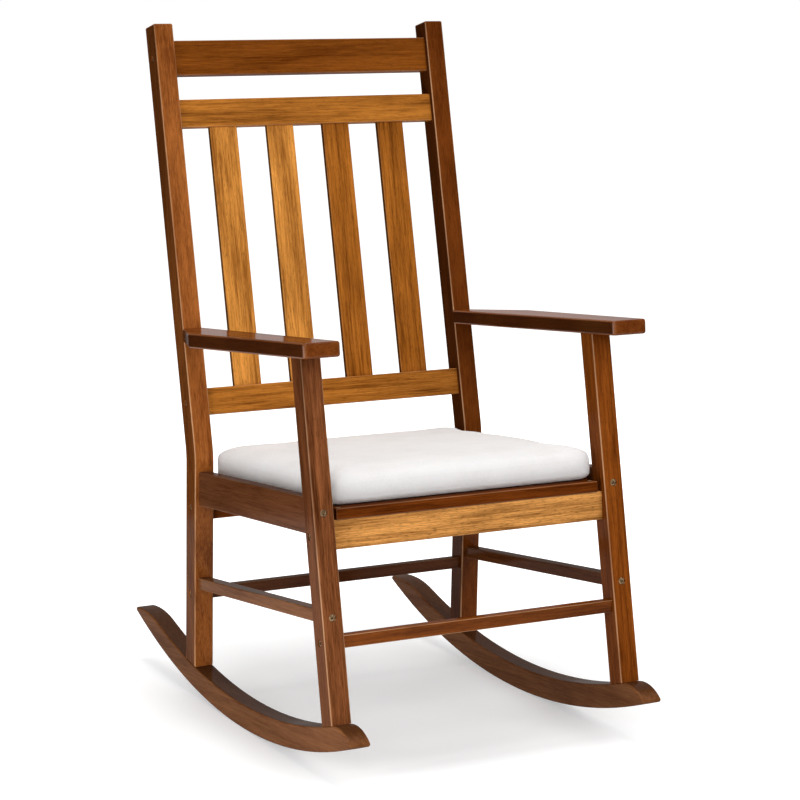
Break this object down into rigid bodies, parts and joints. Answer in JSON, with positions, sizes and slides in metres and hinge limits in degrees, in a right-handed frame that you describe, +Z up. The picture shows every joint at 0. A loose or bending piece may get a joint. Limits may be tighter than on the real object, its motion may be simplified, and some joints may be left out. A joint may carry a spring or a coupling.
{
  "type": "rocking chair",
  "caption": "Slatted wooden rocking chair with a high leaning back, flat arms, curved rockers and a loose seat cushion.",
  "frame": {"origin": "on the floor, at the bottom centre of the chair's bounding box, with the chair in the pose of the picture", "axes": "+Z up, the chair faces -Y, +X to the sitter's left; the seat is tipped back 5 degrees"},
  "size_m": [0.6458, 0.8928, 1.1492],
  "materials": {
    "wood_dark": "dark red-brown stain under clear gloss lacquer",
    "wood_red": "red-brown stain under clear gloss lacquer",
    "wood_golden": "golden brown stain with open grain under clear lacquer",
    "wood_brown": "mid brown stain under clear satin lacquer",
    "dowel_wood": "plain hardwood",
    "cushion_fabric": "off-white woven linen look",
    "cushion_foam": "pale foam",
    "fastener_steel": "darkened steel"
  },
  "bodies": {
    "frame": {"arm_dowels": "dowel_wood", "arm_left": "wood_dark", "arm_right": "wood_dark", "back_slat_1": "wood_golden", "back_slat_2": "wood_golden", "back_slat_3": "wood_golden", "back_slat_4": "wood_golden", "barrel_nuts": "fastener_steel", "cleat_screws": "fastener_steel", "frame_bolts": "fastener_steel", "front_leg_left": "wood_red", "front_leg_right": "wood_red", "front_seat_rail": "wood_golden", "front_stretcher": "wood_brown", "lower_back_rail": "wood_golden", "rail_dowels": "dowel_wood", "rear_post_left": "wood_dark", "rear_post_right": "wood_dark", "rear_seat_rail": "wood_golden", "rear_stretcher": "wood_brown", "rocker_bolts": "fastener_steel", "rocker_left": "wood_brown", "rocker_right": "wood_brown", "seat_cleat_left": "wood_brown", "seat_cleat_right": "wood_brown", "seat_slat_1": "wood_red", "seat_slat_2": "wood_red", "seat_slat_3": "wood_red", "seat_slat_4": "wood_red", "seat_slat_5": "wood_red", "seat_slat_6": "wood_red", "seat_slat_7": "wood_red", "side_seat_rail_left": "wood_red", "side_seat_rail_right": "wood_red", "side_stretcher_left": "wood_brown", "side_stretcher_right": "wood_brown", "slat_screws": "fastener_steel", "top_rail": "wood_dark", "upper_back_rail": "wood_golden"},
    "cushion": {"cushion_core": "cushion_foam", "cushion_cover": "cushion_fabric"}
  },
  "joints": [
    {"name": "cushion_lift", "type": "slide", "parent": "frame", "child": "cushion", "axis": [0, -0.0872, 0.9962], "range_m": [0, 0.3]}
  ]
}
